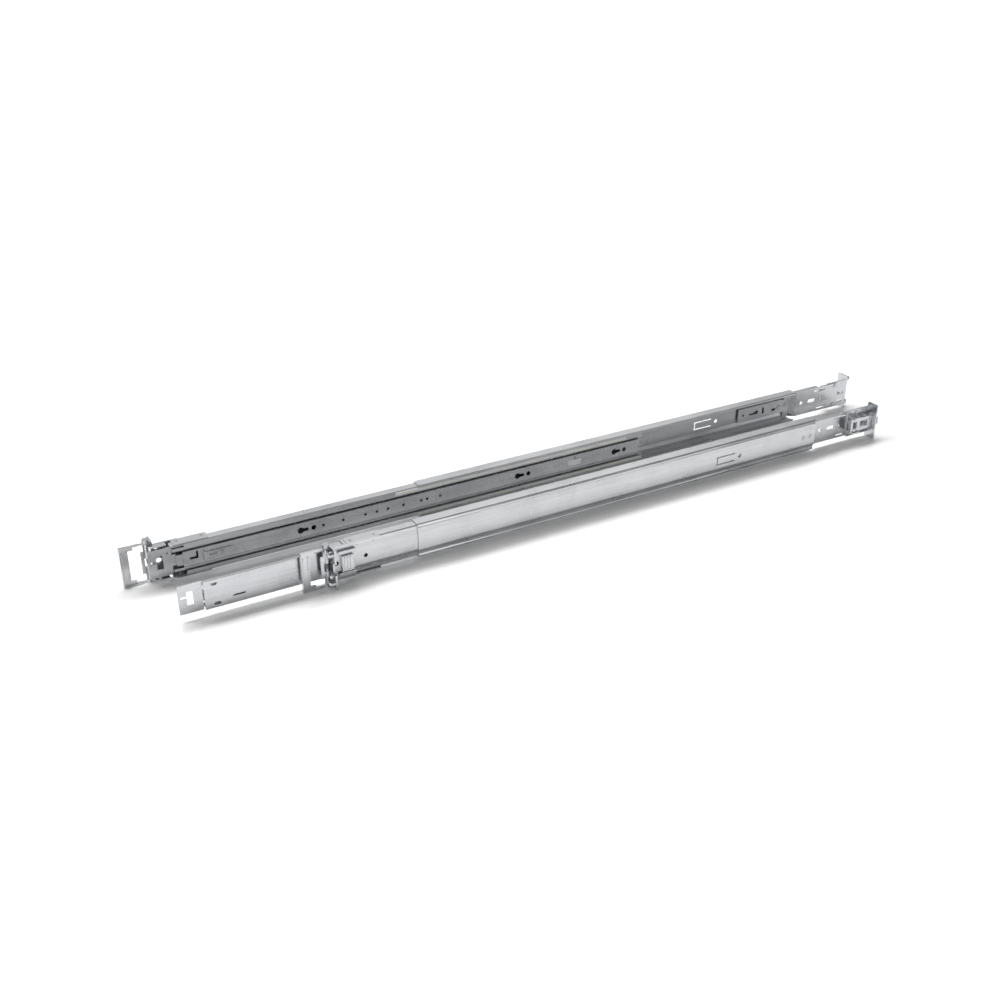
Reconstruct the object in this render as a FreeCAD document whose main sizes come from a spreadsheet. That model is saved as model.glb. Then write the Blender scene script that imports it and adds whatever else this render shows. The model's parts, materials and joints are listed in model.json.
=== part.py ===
import FreeCAD, Part
import os
import re
import Sketcher

# Pair of sliding server rails for a four-post rack: two mirror-image telescopic
# ball-bearing rails with tool-less end brackets.  Millimetres, +X to the rear of
# the rack, +Y to the left, +Z up.  The origin is the middle of the left rail's
# front pegs, on the face that meets the rack post.
#
# Every piece is drawn once in its rail's own frame: x from the front mounting
# face, y from the rail's outer face towards the server, z from mid height.  The
# left rail uses the same functions with y turned over.

SIZES = {
    # how the pair stands
    "pair_spacing": 93.9,        # between the outer faces of the two rails
    "right_setback": 147,        # right rail's front face behind the left one's
    "nearest_depth": 716,        # front mounting face to rear mounting face, pushed right in
    "left_extension": 187,       # how far the left rail is drawn out from that
    "right_extension": 0,
    "right_slide_out": 141,      # how far the right slide stands open
    # rear channel, the large one that wraps the front channel
    "rear_channel_high": 38,
    "rear_channel_deep": 15,
    "rear_channel_wall": 1.2,
    "rear_overhang": 94,         # rear channel's end to the rear mounting face
    "front_clearance": 41,       # bracket's tabs to the rear channel, pushed right in
    "rear_lip": 2.6,
    "web_half": 9.5,             # half height of the flat, proud middle of the web
    "web_proud": 1.4,
    "bevel_rise": 4.5,
    # front channel, nested in the rear one
    "nest_gap": 0.2,
    "front_channel_wall": 1.3,
    "front_channel_start": 16,
    "front_channel_short": 48,   # front channel's end to the rear channel's, pushed right in
    "lip_start": 29,
    "front_lip": 4.8,
    # slide members and balls
    "ball_size": 3.175,
    "ball_clearance": 0.0125,
    "member_wall": 1.2,
    "member_short": 4,           # slide members' end to the front channel's
    "middle_start": 18,
    "middle_web_gap": 1.8,
    "middle_shoulder": 15.3,
    "middle_shoulder_deep": 1.9,
    "middle_flange_deep": 6.5,
    "middle_lip": 3.5,
    "inner_start": 27,
    "inner_web_gap": 1.2,
    "inner_flange_deep": 7.2,
    # retainers
    "retainer_wall": 0.8,
    "outer_retainer_start": 152,
    "outer_retainer_long": 285,
    "inner_retainer_start": 164,
    "inner_retainer_long": 265,
    "pocket_clearance": 0.12,
    # brackets, pegs and their plates
    "bracket_half": 21.6,
    "bracket_wall": 2,
    "flange_reach": 12,
    "peg_out": 8,
    "peg_spacing": 31.75,
    "peg_size": 6.8,
    "peg_long": 4.8,
    "peg_nose": 1.2,
    "leg_wall": 1.4,
    "leg_long": 26,
    "leg_half": 18.6,
    "tab_start": 19,
    "tab_end": 54,
    "rivet_size": 4,
    "rivet_head": 5.4,
    "rivet_head_high": 0.6,
    "tab_rivet_size": 2,
    "tab_rivet_y": 5.7,
    # securing plate
    "plate_half": 21.2,
    "plate_long": 26.4,
    "plate_wall": 1.4,
    "hinge_ahead": 3.6,
    "hinge_pin_size": 2,
    "pin_head": 3,
    "pin_head_high": 0.6,
    "knob_high": 3.2,
    "pin_clearance": 0.05,
    "peg_clearance": 0.6,
    "knuckle_size": 4,
    "knuckle_half": 19.5,
    # release button
    "button_start": 11,
    "button_long": 12,
    "button_half": 9.5,
    "button_high": 4.2,
    "button_travel": 5,
    "slide_clearance": 0.15,
    # inner member's tip
    "tip_start": -5.4,
    "tip_end": 17.2,
    "tip_back": 7.3,
    "tip_step": 22,
    "arm_half": 16,              # half height of the rear arm's plate
    "tip_half": 15.2,
    "tip_neck": 6,
    # rear arm and latch
    "arm_wall": 1.4,
    "arm_reach": 176,
    "arm_inner_half": 8.5,
    "arm_face": 9.4,
    "strap_back": 2.9,           # strap clears the front channel's web and the slide
    "rear_flange_reach": 7,
    "rear_peg_y": 3.5,
    "latch_pivot": 30,
    "latch_pivot_y": -1,
    "latch_half": 8,
    "latch_tongue_half": 4.2,    # passes the middle hole of the rack unit
    "latch_hook_gap": 4,         # rack post thickness that the hook takes
    "spring_wall": 0.6,          # wire of the coil springs
}

NAMES = re.compile("|".join(r"\b%s\b" % name for name in sorted(SIZES, key=len, reverse=True)))

doc = FreeCAD.newDocument("ServerRailPair")
sheet = doc.addObject("Spreadsheet::Sheet", "Sizes")
for row, (size_name, size) in enumerate(SIZES.items(), start=1):
    sheet.set("A%d" % row, size_name)
    sheet.set("B%d" % row, str(size))
    sheet.setAlias("B%d" % row, size_name)
doc.recompute()

SUB_PARTS = []


def bound(expression):
    """The expression with each size's name turned into its cell on the sheet."""
    return NAMES.sub(lambda found: "Sizes." + found.group(0), str(expression))


def value(expression):
    """What an expression comes to now, in millimetres."""
    return float(sheet.evalExpression(bound(expression)))


def tie(thing, prop, expression):
    thing.setExpression(prop, bound(expression))


# Derived places, as expressions over the sheet
NEST = "(rear_channel_wall + nest_gap)"
FRONT_HALF = "(rear_channel_high / 2 - %s)" % NEST
FRONT_RACE = "(%s - front_channel_wall)" % FRONT_HALF
RACE = "(ball_size + 2 * ball_clearance)"
MIDDLE_TOP = "(%s - %s)" % (FRONT_RACE, RACE)
MIDDLE_RACE = "(%s - member_wall)" % MIDDLE_TOP
INNER_TOP = "(%s - %s)" % (MIDDLE_RACE, RACE)
MIDDLE_WEB = "(%s + front_channel_wall + middle_web_gap)" % NEST
MIDDLE_EDGE = "(%s + middle_flange_deep)" % MIDDLE_WEB
INNER_FACE = "(%s + inner_web_gap + member_wall)" % MIDDLE_EDGE
INNER_EDGE = "(%s - inner_flange_deep)" % INNER_FACE
OUTER_BALL_Y = "(%s + (middle_shoulder_deep + middle_flange_deep) / 2)" % MIDDLE_WEB
INNER_BALL_Y = "(%s + ball_size / 2)" % INNER_EDGE
OUTER_BALL_Z = "(%s - %s / 2)" % (FRONT_RACE, RACE)
INNER_BALL_Z = "(%s - %s / 2)" % (MIDDLE_RACE, RACE)
FRONT_LIP_FACE = "(rear_channel_deep - %s)" % NEST
HINGE_Y = "(-plate_wall / 2)"
ARM_BACK = "(arm_face - arm_wall)"
FRONT_END = "(nearest_depth - rear_overhang - front_channel_short)"
MEMBER_END = "(%s - member_short)" % FRONT_END
REAR_LONG = "(nearest_depth - rear_overhang - tab_end - front_clearance)"
BRACKET_BACK = "(%s - bracket_wall)" % ARM_BACK

# Places along a rail that only the piece itself depends on: from the front face,
# or from the rear face where negative
TAB_RIVETS = ("tab_start + 5", "tab_end - 5")
ARM_RIVETS = ("-rear_overhang - 17", "-rear_overhang - 6")
BRACKET_RIVETS = (("-22", "12.5"), ("-22", "-12.5"))
KEYHOLES = ("145", "401", "%s - 39" % MEMBER_END)
PLAIN_HOLES = ("173", "195", "220", "233", "246", "264", "285", "292", "308")
DAMPER_START = "(%s - 99)" % MEMBER_END
DAMPER_END = "(%s - 81)" % MEMBER_END
LEVER_X = "66"


class Rail:
    """One rail of the pair: its name, its hand, and where its front face stands."""

    def __init__(self, name, hand):
        self.name = name
        self.hand = hand
        self.front_x = "0" if hand < 0 else "right_setback"
        self.outer_y = "-peg_out" if hand < 0 else "-(peg_out + pair_spacing)"
        self.depth = "(nearest_depth + %s_extension)" % name
        self.slide_out = "0" if hand < 0 else "right_slide_out"

    def y(self, expression):
        return "%d * (%s)" % (self.hand, expression)

    def publish(self, thing, label, shift="0"):
        """Names a finished piece and puts it in its place on the pair."""
        thing.Label = "%s_%s" % (self.name, label)
        tie(thing, ".Placement.Base.x", "%s + (%s)" % (self.front_x, shift))
        tie(thing, ".Placement.Base.y", self.outer_y)
        SUB_PARTS.append(thing)
        return thing

    def publish_at(self, thing, label, x, y, shift="0"):
        """Names a piece drawn about its own pivot and puts that pivot in its place."""
        thing.Label = "%s_%s" % (self.name, label)
        tie(thing, ".Placement.Base.x", "%s + (%s) + (%s)" % (self.front_x, x, shift))
        tie(thing, ".Placement.Base.y", "%s + %s" % (self.outer_y, self.y(y)))
        SUB_PARTS.append(thing)
        return thing


def box(rail, x0, x1, y0, y1, z0, z1):
    """A block between two corners of the rail's frame."""
    block = doc.addObject("Part::Box", "Block")
    tie(block, "Length", "(%s) - (%s)" % (x1, x0))
    tie(block, "Width", "(%s) - (%s)" % (y1, y0))
    tie(block, "Height", "(%s) - (%s)" % (z1, z0))
    tie(block, ".Placement.Base.x", x0)
    tie(block, ".Placement.Base.y", rail.y(y0 if rail.hand > 0 else y1))
    tie(block, ".Placement.Base.z", z0)
    return block


def pair_of_boxes(rail, x0, x1, y0, y1, z0, z1):
    """A block above mid height and its mirror image below."""
    upper = box(rail, x0, x1, y0, y1, z0, z1)
    lower = box(rail, x0, x1, y0, y1, "-(%s)" % z1, "-(%s)" % z0)
    return [upper, lower]


def rod(rail, axis, x, y, z, radius, length):
    """A cylinder that starts at a point and runs along +x, towards the server (y) or up."""
    ways = {"x": (1, 0, 0), "y": (0, rail.hand, 0), "z": (0, 0, 1)}
    cylinder = doc.addObject("Part::Cylinder", "Rod")
    turn = FreeCAD.Rotation(FreeCAD.Vector(0, 0, 1), FreeCAD.Vector(*ways[axis]))
    cylinder.Placement = FreeCAD.Placement(FreeCAD.Vector(), turn)
    tie(cylinder, "Radius", radius)
    tie(cylinder, "Height", length)
    tie(cylinder, ".Placement.Base.x", x)
    tie(cylinder, ".Placement.Base.y", rail.y(y))
    tie(cylinder, ".Placement.Base.z", z)
    return cylinder


def slot(rail, x0, x1, y0, y1, z, high):
    """A block with round ends along x, for cutting a slot through a web."""
    start = "(%s) + (%s) / 2" % (x0, high)
    end = "(%s) - (%s) / 2" % (x1, high)
    long = "(%s) - (%s)" % (y1, y0)
    middle = box(rail, start, end, y0, y1, "(%s) - (%s) / 2" % (z, high), "(%s) + (%s) / 2" % (z, high))
    ends = [rod(rail, "y", x, y0, z, "(%s) / 2" % high, long) for x in (start, end)]
    return fuse([middle] + ends)


def fuse(things):
    if len(things) == 1:
        return things[0]
    joined = doc.addObject("Part::MultiFuse", "Joined")
    joined.Shapes = things
    joined.Refine = True
    return joined


def group(things):
    """Separate solids that share one node, such as the rivets of one joint."""
    bundle = doc.addObject("Part::Compound", "Group")
    bundle.Links = things
    return bundle


def cut(base, tools):
    opened = doc.addObject("Part::Cut", "Opened")
    opened.Base = base
    opened.Tool = fuse(tools)
    return opened


def walls(rail, section, start, end, slabs):
    """A rolled section parted at its bends: each wall is a solid that meets the next face to face."""
    made = []
    for y0, y1, z0, z1 in slabs:
        wall = doc.addObject("Part::Common", "Wall")
        wall.Base = section
        wall.Tool = box(rail, "(%s) - 1" % start, "(%s) + 1" % end, y0, y1, z0, z1)
        made.append(wall)
    return group(made)


def wall_slabs(back, face, web, race, top, wall):
    """Web, two flanges and two lips of a section: from back to face across, to top upwards."""
    inside = "(%s) - %s" % (face, wall)
    return [
        (back, web, "-(%s)" % race, race),
        (back, face, race, top),
        (back, face, "-(%s)" % top, "-(%s)" % race),
        (inside, face, "0", race),
        (inside, face, "-(%s)" % race, "0"),
    ]


def channel(rail, outline, start, end, rounds):
    """A rolled section: a closed outline in the y-z plane, run along x, with long edges rounded.

    The outline gives the upper half, as (y, z) pairs from the outer web at mid
    height round to the inner web at mid height; the lower half mirrors it.
    rounds gives (radius, corners) with the corners named by their (y, z).
    """
    lower = [(y, "-(%s)" % z) for y, z in reversed(outline[1:-1])]
    points = outline[1:-1] + lower
    body = doc.addObject("PartDesign::Body", "Channel")
    sketch = body.newObject("Sketcher::SketchObject", "Section")
    plane = [item for item in body.Origin.OriginFeatures if item.Role == "YZ_Plane"][0]
    sketch.AttachmentSupport = [(plane, "")]
    sketch.MapMode = "FlatFace"
    places = [(value(rail.y(y)), value(z)) for y, z in points]
    corners = [FreeCAD.Vector(y, z, 0) for y, z in places]
    count = len(corners)
    sketch.addGeometry([Part.LineSegment(corners[i], corners[(i + 1) % count]) for i in range(count)])
    joins = [Sketcher.Constraint("Coincident", i, 2, (i + 1) % count, 1) for i in range(count)]
    sketch.addConstraint(joins)
    across = [Sketcher.Constraint("DistanceX", -1, 1, i, 1, places[i][0]) for i in range(count)]
    up = [Sketcher.Constraint("DistanceY", -1, 1, i, 1, places[i][1]) for i in range(count)]
    first = len(joins)
    sketch.addConstraint(across + up)
    for i, (y, z) in enumerate(points):
        tie(sketch, "Constraints[%d]" % (first + i), rail.y(y))
        tie(sketch, "Constraints[%d]" % (first + count + i), z)
    pad = body.newObject("PartDesign::Pad", "Length")
    pad.Profile = sketch
    tie(pad, "Length", "(%s) - (%s)" % (end, start))
    doc.recompute()
    last = pad
    for radius, spots in rounds:
        edges = long_edges(last.Shape, [(value(rail.y(y)), value(z)) for y, z in spots])
        last = body.newObject("PartDesign::Fillet", "Round")
        last.Base = (body.Group[-2], edges)
        tie(last, "Radius", radius)
        doc.recompute()
    tie(body, ".Placement.Base.x", start)
    return body


def long_edges(shape, spots):
    """Names of the edges that run along x through the given (y, z) places, above and below."""
    names = []
    for number, edge in enumerate(shape.Edges, start=1):
        ends = [vertex.Point for vertex in edge.Vertexes]
        if len(ends) != 2 or abs(ends[0].y - ends[1].y) > 1e-4 or abs(ends[0].z - ends[1].z) > 1e-4:
            continue
        for y, z in spots:
            if abs(ends[0].y - y) < 1e-3 and abs(abs(ends[0].z) - z) < 1e-3:
                names.append("Edge%d" % number)
    return names


def rolled_outline(offset, wall, lip):
    """Upper half of an outer channel's section, set in from the rear channel's by an offset."""
    half = "(rear_channel_high / 2 - %s)" % offset
    inside = "(%s + %s)" % (offset, wall)
    inner_half = "(rear_channel_high / 2 - %s)" % inside
    face = "(rear_channel_deep - %s)" % offset
    bevel = "(web_half + bevel_rise)"
    return [
        (offset, "0"),
        (offset, "web_half - %s / 3" % offset),
        ("%s + web_proud" % offset, "%s - %s / 3" % (bevel, offset)),
        ("%s + web_proud" % offset, half),
        (face, half),
        (face, "%s - (%s)" % (half, lip)),
        ("%s - %s" % (face, wall), "%s - (%s)" % (half, lip)),
        ("%s - %s" % (face, wall), inner_half),
        ("%s + web_proud" % inside, inner_half),
        ("%s + web_proud" % inside, "%s - %s / 3" % (bevel, inside)),
        (inside, "web_half - %s / 3" % inside),
        (inside, "0"),
    ]


def rear_channel(rail):
    outline = rolled_outline("0", "rear_channel_wall", "rear_lip")
    half = "rear_channel_high / 2"
    front = "(-(rear_overhang + %s))" % REAR_LONG
    body = channel(rail, outline, front, "-rear_overhang", [
        ("2", [("web_proud", half)]),
        ("1.6", [("rear_channel_deep", half)]),
    ])
    through = "rear_channel_wall + 1"
    tools = [
        slot(rail, front + " + 378", front + " + 405", "-1", through, "4.4", "1.6"),
        slot(rail, front + " + 378", front + " + 405", "-1", through, "-4.4", "1.6"),
        box(rail, front + " + 378.8", front + " + 380.4", "-1", through, "-4.4", "4.4"),
        rod(rail, "y", front + " + 412", "-1", "0", "2.3", through + " + 1"),
    ]
    tools += [rod(rail, "y", x, "-1", "0", "rivet_size / 2", through + " + 1") for x in ARM_RIVETS]
    race = "rear_channel_high / 2 - rear_channel_wall"
    slabs = wall_slabs("0", "rear_channel_deep", "rear_channel_deep - rear_channel_wall", race, half,
                       "rear_channel_wall")
    parted = walls(rail, cut(body, tools), front, "-rear_overhang", slabs)
    return rail.publish(parted, "rear_channel", rail.depth)


def front_channel(rail):
    outline = rolled_outline(NEST, "front_channel_wall", "front_lip")
    body = channel(rail, outline, "front_channel_start", FRONT_END, [
        ("1.8", [("%s + web_proud" % NEST, FRONT_HALF)]),
        ("1.4", [(FRONT_LIP_FACE, FRONT_HALF)]),
    ])
    through = "%s + front_channel_wall + 1" % NEST
    tools = [
        rod(rail, "y", "38", "-1", "0", "2.2", through + " + 1"),
        rod(rail, "y", FRONT_END + " - 107", "-1", "0", "2.2", through + " + 1"),
    ]
    tools += pair_of_boxes(rail, "front_channel_start - 1", "lip_start", "%s - 2" % FRONT_LIP_FACE,
                           "%s + 1" % FRONT_LIP_FACE, "%s - front_lip - 1" % FRONT_HALF, FRONT_RACE)
    tools += [rod(rail, "z", FRONT_END + " - 1.5", "7", z, "rivet_size / 4", "front_channel_wall + 2")
              for z in ("%s - 1" % FRONT_RACE, "-%s - 1" % FRONT_HALF)]
    tools += [rod(rail, "z", x, "tab_rivet_y", z, "tab_rivet_size / 2", "front_channel_wall + 2")
              for x in TAB_RIVETS for z in ("%s - 1" % FRONT_RACE, "-%s - 1" % FRONT_HALF)]
    slabs = wall_slabs(NEST, FRONT_LIP_FACE, "%s - front_channel_wall" % FRONT_LIP_FACE, FRONT_RACE, FRONT_HALF,
                       "front_channel_wall")
    return rail.publish(walls(rail, cut(body, tools), "front_channel_start", FRONT_END, slabs), "front_channel")


def glide_strips(rail):
    """Low-friction strips along the front channel's lips that guide the rear channel's lips."""
    top = "(rear_channel_high / 2 - rear_lip - 0.3)"
    bottom = "(%s - front_lip + 0.1)" % FRONT_HALF
    upper = box(rail, FRONT_END + " - 319", FRONT_END + " - 24",
                FRONT_LIP_FACE, "%s + 0.9" % FRONT_LIP_FACE, bottom, top)
    lower = box(rail, FRONT_END + " - 293", FRONT_END,
                FRONT_LIP_FACE, "%s + 0.9" % FRONT_LIP_FACE, "-(%s)" % top, "-(%s)" % bottom)
    return rail.publish(group([upper, lower]), "glide_strips")


def front_bracket(rail):
    """Flange for the pegs, a leg along the web, and tabs that wrap the front channel."""
    half = "bracket_half"
    solid = [
        box(rail, "0", "bracket_wall", "-flange_reach", "leg_wall", "-%s" % half, half),
        box(rail, "0", "leg_long", "0", "leg_wall", "-leg_half", "leg_half"),
    ]
    solid += pair_of_boxes(rail, "tab_start", "tab_end", "leg_wall", "%s - 0.6" % FRONT_LIP_FACE,
                           FRONT_HALF, "leg_half")
    solid += pair_of_boxes(rail, "tab_start", "leg_long", "0", "leg_wall", FRONT_HALF, "leg_half")
    solid += pair_of_boxes(rail, "-hinge_ahead - 1.6", "0", "%s - 2" % HINGE_Y, "leg_wall",
                           "knuckle_half + 0.3", "bracket_half - pin_head_high")
    gib = "(button_half + 2.8)"
    solid += pair_of_boxes(rail, "8", "30 - 4", "-2.9", "0", gib, "%s + 1.2" % gib)
    solid += pair_of_boxes(rail, "8", "30 - 4", "-2.9", "-1.8", "%s - 2" % gib, gib)
    tools = [
        slot(rail, "3.5", "9", "-1", "3", "0", "5"),
        box(rail, "-1", "bracket_wall + 1", "-flange_reach - 1", "-flange_reach + 5", "-6", "6"),
    ]
    tools += [slot(rail, "3.5", "7", "-1", "3", z, "3.4") for z in ("-14", "14")]
    tools += [rod(rail, "z", x, "tab_rivet_y", z, "tab_rivet_size / 2", "leg_half")
              for x in TAB_RIVETS for z in ("1", "-leg_half - 1")]
    tools.append(box(rail, "button_start + 2", "leg_long - 1", "-1", "leg_wall + 1", "-1.6", "1.6"))
    tools += [rod(rail, "x", "-1", "-peg_out", z, "peg_size / 2 - 0.9", "bracket_wall + 2")
              for z in ("peg_spacing / 2", "-peg_spacing / 2")]
    tools += [rod(rail, "z", "-hinge_ahead", HINGE_Y, "-%s - 1" % half, "hinge_pin_size / 2",
                  "2 * %s + 2" % half)]
    return rail.publish(cut(fuse(solid), tools), "front_bracket")


def pegs(rail, label, y, way, shift):
    """Two shouldered pegs on a flange, pointing along way (-1 forward, 1 rearward)."""
    made = []
    for z in ("peg_spacing / 2", "-peg_spacing / 2"):
        start = "-peg_long" if way < 0 else "0"
        tip = "-peg_long - peg_nose" if way < 0 else "peg_long"
        neck = "0" if way < 0 else "-bracket_wall"
        body = rod(rail, "x", start, y, z, "peg_size / 2", "peg_long")
        shank = rod(rail, "x", neck, y, z, "peg_size / 2 - 0.9", "bracket_wall")
        nose = doc.addObject("Part::Cone", "Nose")
        turn = FreeCAD.Rotation(FreeCAD.Vector(0, 0, 1), FreeCAD.Vector(1, 0, 0))
        nose.Placement = FreeCAD.Placement(FreeCAD.Vector(), turn)
        tie(nose, "Radius1", "peg_size / 2 - 1" if way < 0 else "peg_size / 2")
        tie(nose, "Radius2", "peg_size / 2" if way < 0 else "peg_size / 2 - 1")
        tie(nose, "Height", "peg_nose")
        tie(nose, ".Placement.Base.x", tip)
        tie(nose, ".Placement.Base.y", rail.y(y))
        tie(nose, ".Placement.Base.z", z)
        made.append(fuse([body, shank, nose]))
    return rail.publish(group(made), label, shift)


def rivets(rail, label, places, y0, y1, shift="0"):
    """Rivets through a stack of plates from y0 to y1, with a head on each side."""
    made = []
    for x, z in places:
        made.append(fuse([
            rod(rail, "y", x, y0, z, "rivet_size / 2", "(%s) - (%s)" % (y1, y0)),
            rod(rail, "y", x, "(%s) - rivet_head_high" % y0, z, "rivet_head / 2", "rivet_head_high"),
            rod(rail, "y", x, y1, z, "rivet_head / 2", "rivet_head_high"),
        ]))
    return rail.publish(group(made), label, shift)


def tab_rivets(rail):
    """Rivets through the bracket's tabs and the front channel's flanges, above and below."""
    made = []
    for x in TAB_RIVETS:
        for sign in ("", "-"):
            inner = "%s - 0.5" % FRONT_RACE
            ends = (inner, "leg_half + 0.3") if not sign else ("-leg_half - 0.3", "-(%s)" % inner)
            heads = (inner, "leg_half") if not sign else ("-leg_half - 0.3", "-%s" % FRONT_RACE)
            shank = rod(rail, "z", x, "tab_rivet_y", ends[0], "tab_rivet_size / 2",
                        "(%s) - (%s)" % (ends[1], ends[0]))
            high = ("0.5", "0.3") if not sign else ("0.3", "0.5")
            rims = [rod(rail, "z", x, "tab_rivet_y", z, "tab_rivet_size / 2 + 0.5", tall)
                    for z, tall in zip(heads, high)]
            made.append(fuse([shank] + rims))
    return rail.publish(group(made), "tab_rivets")


def headed_pin(rail, label, x, y, half, knob, shift="0"):
    """An upright pin with a riveted rim at each end, and a knob on top if it has a height."""
    solid = [
        rod(rail, "z", x, y, "-(%s)" % half, "hinge_pin_size / 2", "2 * (%s)" % half),
        rod(rail, "z", x, y, half, "pin_head / 2", "pin_head_high"),
        rod(rail, "z", x, y, "-(%s) - pin_head_high" % half, "pin_head / 2", "pin_head_high"),
    ]
    if knob:
        solid.append(rod(rail, "z", x, y, "%s + pin_head_high" % half, "%s + 0.2" % knob, knob))
    return rail.publish(fuse(solid), label, shift)


def coil_spring(rail, label, x, y, x_shift, legs):
    """A torsion spring round an upright pin, drawn as the sleeve its coils fill, with two legs."""
    bore = "hinge_pin_size / 2 + pin_clearance"
    sleeve = rod(rail, "z", "0", "0", "-3.6", "%s + spring_wall" % bore, "7.2")
    hollow = rod(rail, "z", "0", "0", "-4.6", bore, "9.2")
    solid = [cut(sleeve, [hollow])]
    for x0, x1, y0, y1, z in legs:
        solid.append(box(rail, x0, x1, y0, y1, "%s - spring_wall / 2" % z, "%s + spring_wall / 2" % z))
    return rail.publish_at(fuse(solid), label, x, y, x_shift)


def securing_plate(rail):
    """The swinging frame that closes in front of the rack post; drawn about its own hinge."""
    reach = "-plate_long"
    half_wall = "plate_wall / 2"
    sheet_piece = box(rail, reach, "0", "-%s" % half_wall, half_wall, "-plate_half", "plate_half")
    knuckle = rod(rail, "z", "0", "0", "-knuckle_half", "knuckle_size / 2", "2 * knuckle_half")
    notch = "(peg_size / 2 + peg_clearance)"
    reach_to_peg = "(peg_out - plate_wall / 2)"
    tools = [
        box(rail, "-18.4", "-6.4", "-3", "3", "-16.5", "16.5"),
        rod(rail, "z", "0", "0", "-plate_half - 1", "hinge_pin_size / 2 + pin_clearance", "2 * plate_half + 2"),
        box(rail, "-3.2", "3.2", "-3.2", "3.2", "-4.5", "4.5"),
    ]
    tools += pair_of_boxes(rail, "-%s - %s - 1.7" % (reach_to_peg, notch), "-%s + %s" % (reach_to_peg, notch),
                           "-3", "3", "peg_spacing / 2 - %s" % notch, "peg_spacing / 2 + %s" % notch)
    tools += pair_of_boxes(rail, "-3.2", "3.2", "-3.2", "3.2", "knuckle_half", "plate_half + 1")
    rim = "knuckle_size / 2"
    sheet_piece = fuse([
        sheet_piece,
        box(rail, reach, "%s + 1.2" % reach, "-%s" % rim, rim, "-plate_half", "plate_half"),
        box(rail, "-19.6", "-18.4", "-%s" % rim, rim, "-16.5", "16.5"),
    ] + pair_of_boxes(rail, reach, "-7", "-%s" % rim, rim, "plate_half - 1.1", "plate_half"))
    plate = cut(fuse([sheet_piece, knuckle]), tools)
    return rail.publish_at(plate, "securing_plate", "-hinge_ahead", HINGE_Y)


def release_button(rail):
    """Thumb slide on the bracket's leg; its foot runs under the two gibs."""
    end = "button_start + button_long"
    lift = "-slide_clearance"
    flange_half = "(button_half + 2.8 - slide_clearance)"
    solid = [
        box(rail, "button_start", end, "-1.5", lift, "-%s" % flange_half, flange_half),
        box(rail, "button_start", end, "-button_high", lift, "-button_half + 1.2", "button_half - 1.2"),
    ]
    solid += [box(rail, "button_start + %s" % x, "button_start + %s + 1.2" % x, "-button_high - 0.7",
                  "-button_high", "-button_half + 2.4", "button_half - 2.4") for x in (2, 5, 8)]
    solid.append(box(rail, "button_start + 2.3", "button_start + 3.8", "-1", "leg_wall - 0.2", "-1.2", "1.2"))
    return rail.publish(fuse(solid), "release_button")


def button_spring(rail):
    """Compression spring in the leg's window, between the button's lug and the window's end."""
    start = "(button_start + 3.8)"
    spring = fuse([rod(rail, "x", start, "leg_wall / 2", "0", "leg_wall / 2 - 0.1", "leg_long - 1 - %s" % start),
                   rod(rail, "x", start, "leg_wall / 2", "0", "leg_wall / 2 - 0.05", "0.4")])
    return rail.publish(spring, "button_spring")


def middle_member(rail):
    web = MIDDLE_WEB
    shoulder = "%s + middle_shoulder_deep" % web
    outline = [
        (web, "0"),
        (web, "middle_shoulder"),
        (shoulder, "middle_shoulder"),
        (shoulder, MIDDLE_TOP),
        (MIDDLE_EDGE, MIDDLE_TOP),
        (MIDDLE_EDGE, "%s - middle_lip" % MIDDLE_TOP),
        ("%s - member_wall" % MIDDLE_EDGE, "%s - middle_lip" % MIDDLE_TOP),
        ("%s - member_wall" % MIDDLE_EDGE, MIDDLE_RACE),
        ("%s + member_wall" % web, MIDDLE_RACE),
        ("%s + member_wall" % web, "0"),
    ]
    body = channel(rail, outline, "middle_start", MEMBER_END, [
        ("0.8", [(web, "middle_shoulder"), (shoulder, "middle_shoulder")]),
        ("0.9", [(MIDDLE_EDGE, MIDDLE_TOP)]),
    ])
    y0 = "%s - 1" % web
    y1 = "%s + member_wall + 0.3" % web
    tools = [
        slot(rail, "middle_start + 7", "middle_start + 13", y0, y1, "10.6", "3"),
        slot(rail, "middle_start + 8", "middle_start + 15", y0, y1, "-10.6", "3"),
        slot(rail, "middle_start + 27", "middle_start + 39", y0, y1, "-6.7", "1.6"),
        slot(rail, MEMBER_END + " - 40", MEMBER_END + " - 26", y0, y1, "0", "5"),
        rod(rail, "y", MEMBER_END + " - 60", y0, "0", "2.2", "4"),
    ]
    inner_web = "%s + member_wall" % web
    edge = "%s - member_wall" % MIDDLE_EDGE
    slabs = [(web, inner_web, "-middle_shoulder", "middle_shoulder")]
    for z0, z1 in ((MIDDLE_RACE, "middle_shoulder"), ("-middle_shoulder", "-%s" % MIDDLE_RACE)):
        slabs.append((inner_web, MIDDLE_EDGE, z0, z1))
    slabs += [(edge, MIDDLE_EDGE, "0", MIDDLE_RACE), (edge, MIDDLE_EDGE, "-%s" % MIDDLE_RACE, "0")]
    parted = walls(rail, cut(body, tools), "middle_start", MEMBER_END, slabs)
    return rail.publish(parted, "middle_member", "-(%s)" % rail.slide_out)


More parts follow.
